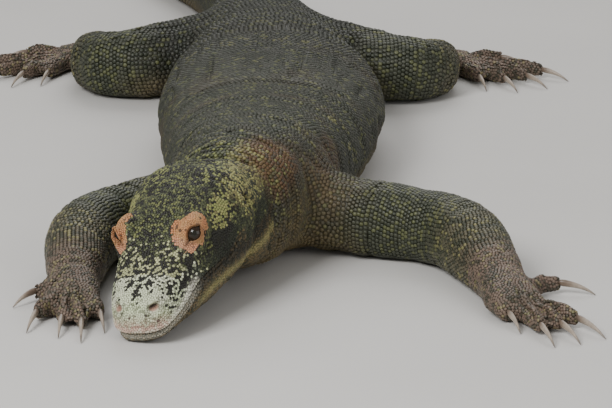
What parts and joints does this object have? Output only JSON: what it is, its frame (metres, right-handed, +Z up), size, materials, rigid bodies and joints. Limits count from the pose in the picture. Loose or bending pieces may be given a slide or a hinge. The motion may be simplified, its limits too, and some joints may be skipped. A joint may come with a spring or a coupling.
{
  "type": "komodo dragon",
  "caption": "Life-size komodo dragon lying on its belly, head turned and chin on the floor, arms bent forward, legs sprawled, tail trailing in a curve.",
  "frame": {"origin": "middle of the footprint, on the floor that the animal lies on", "axes": "+Z up; the animal looks towards -Y with its left side at +X, and its tail trails towards +Y"},
  "size_m": [0.8586, 2.4356, 0.161],
  "materials": {
    "hide": "dark olive-grey beaded scales, matt",
    "face": "pale cream-green snout with dark speckles, fine beaded scales",
    "eye": "wet, dark brown",
    "claw": "grey-tan horn, satin"
  },
  "bodies": {
    "root": {"lower_jaw": "face", "head": "face", "neck": "hide", "chest": "hide", "belly": "hide", "pelvis": "hide", "tail_base": "hide", "tail_middle": "hide", "tail_rear": "hide", "tail_tip": "hide", "upper_arm_left": "hide", "forearm_left": "hide", "hand_left": "hide", "thigh_left": "hide", "shank_left": "hide", "foot_left": "hide", "upper_arm_right": "hide", "forearm_right": "hide", "hand_right": "hide", "thigh_right": "hide", "shank_right": "hide", "foot_right": "hide", "eye_left": "eye", "eye_right": "eye", "claw_hand_left_1": "claw", "claw_hand_left_2": "claw", "claw_hand_left_3": "claw", "claw_hand_left_4": "claw", "claw_hand_left_5": "claw", "claw_hand_right_1": "claw", "claw_hand_right_2": "claw", "claw_hand_right_3": "claw", "claw_hand_right_4": "claw", "claw_hand_right_5": "claw", "claw_foot_left_1": "claw", "claw_foot_left_2": "claw", "claw_foot_left_3": "claw", "claw_foot_left_4": "claw", "claw_foot_left_5": "claw", "claw_foot_right_1": "claw", "claw_foot_right_2": "claw", "claw_foot_right_3": "claw", "claw_foot_right_4": "claw", "claw_foot_right_5": "claw"}
  },
  "joints": []
}
